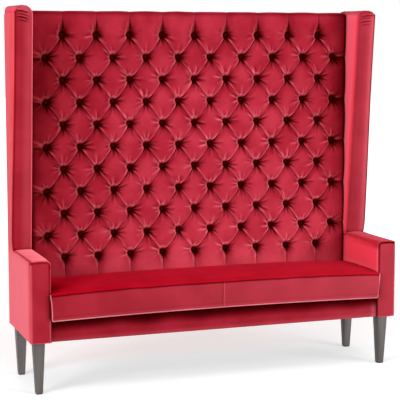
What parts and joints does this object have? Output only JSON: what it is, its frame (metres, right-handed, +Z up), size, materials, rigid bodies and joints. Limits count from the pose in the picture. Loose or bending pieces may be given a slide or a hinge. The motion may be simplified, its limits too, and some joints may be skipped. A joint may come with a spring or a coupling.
{
  "type": "high back settee",
  "caption": "Free-standing high back settee with low track arms, forward-leaning wings, a deep-buttoned velvet back, a bench seat cushion and square tapered legs.",
  "frame": {"origin": "on the floor, under the middle of the whole settee's box", "axes": "+X along the seat to the right as seen from the front, +Y towards the back, +Z up; the seat faces -Y"},
  "size_m": [1.8, 0.5, 1.735],
  "materials": {
    "red_velvet": "short-pile cotton velvet with a strong pale sheen at grazing angles",
    "dark_stained_wood": "near-black stained hardwood, satin",
    "frame_hardwood": "planed beech, unfinished",
    "hardboard": "smooth brown board",
    "foam": "open-cell upholstery foam",
    "grey_felt": "needled felt",
    "twine": "waxed flax twine",
    "spring_steel": "oiled spring wire",
    "zinc_steel": "zinc plated",
    "black_plastic": "matte nylon",
    "black_cloth": "thin spun-bonded cloth"
  },
  "bodies": {
    "root": {"leg_front_left": "dark_stained_wood", "leg_front_right": "dark_stained_wood", "leg_rear_left": "dark_stained_wood", "leg_rear_right": "dark_stained_wood", "leg_glides": "black_plastic", "hanger_bolts": "zinc_steel", "tee_nuts": "zinc_steel", "front_seat_rail": "frame_hardwood", "back_seat_rail": "frame_hardwood", "side_seat_rail_left": "frame_hardwood", "side_seat_rail_right": "frame_hardwood", "seat_cross_rails": "frame_hardwood", "corner_blocks": "frame_hardwood", "sinuous_springs": "spring_steel", "spring_clips": "zinc_steel", "seat_deck": "grey_felt", "side_bottom_rail_left": "frame_hardwood", "side_bottom_rail_right": "frame_hardwood", "arm_front_post_left": "frame_hardwood", "arm_front_post_right": "frame_hardwood", "arm_top_rail_left": "frame_hardwood", "arm_top_rail_right": "frame_hardwood", "rear_post_left": "frame_hardwood", "rear_post_right": "frame_hardwood", "wing_post_left": "frame_hardwood", "wing_post_right": "frame_hardwood", "wing_top_rail_left": "frame_hardwood", "wing_top_rail_right": "frame_hardwood", "arm_inner_panel_left": "hardboard", "arm_inner_panel_right": "hardboard", "wing_inner_panel_left": "hardboard", "wing_inner_panel_right": "hardboard", "back_top_rail": "frame_hardwood", "back_middle_rail": "frame_hardwood", "back_lower_rail": "frame_hardwood", "back_bottom_rail": "frame_hardwood", "back_uprights": "frame_hardwood", "tufting_board": "hardboard", "button_ties": "twine", "back_foam_slab": "foam", "tufted_back": "red_velvet", "cover_buttons": "red_velvet", "back_top_band": "red_velvet", "arm_pad_left": "red_velvet", "arm_pad_right": "red_velvet", "arm_front_panel_left": "red_velvet", "arm_front_panel_right": "red_velvet", "wing_pad_left": "red_velvet", "wing_pad_right": "red_velvet", "arm_outer_cover_left": "red_velvet", "arm_outer_cover_right": "red_velvet", "wing_outer_cover_left": "red_velvet", "wing_outer_cover_right": "red_velvet", "outer_back_cover": "red_velvet", "front_rail_cover": "red_velvet", "dust_cover": "black_cloth", "seat_cushion": "red_velvet", "seat_foam_core": "foam", "cushion_back_band": "red_velvet", "cushion_piping": "red_velvet"}
  },
  "joints": []
}
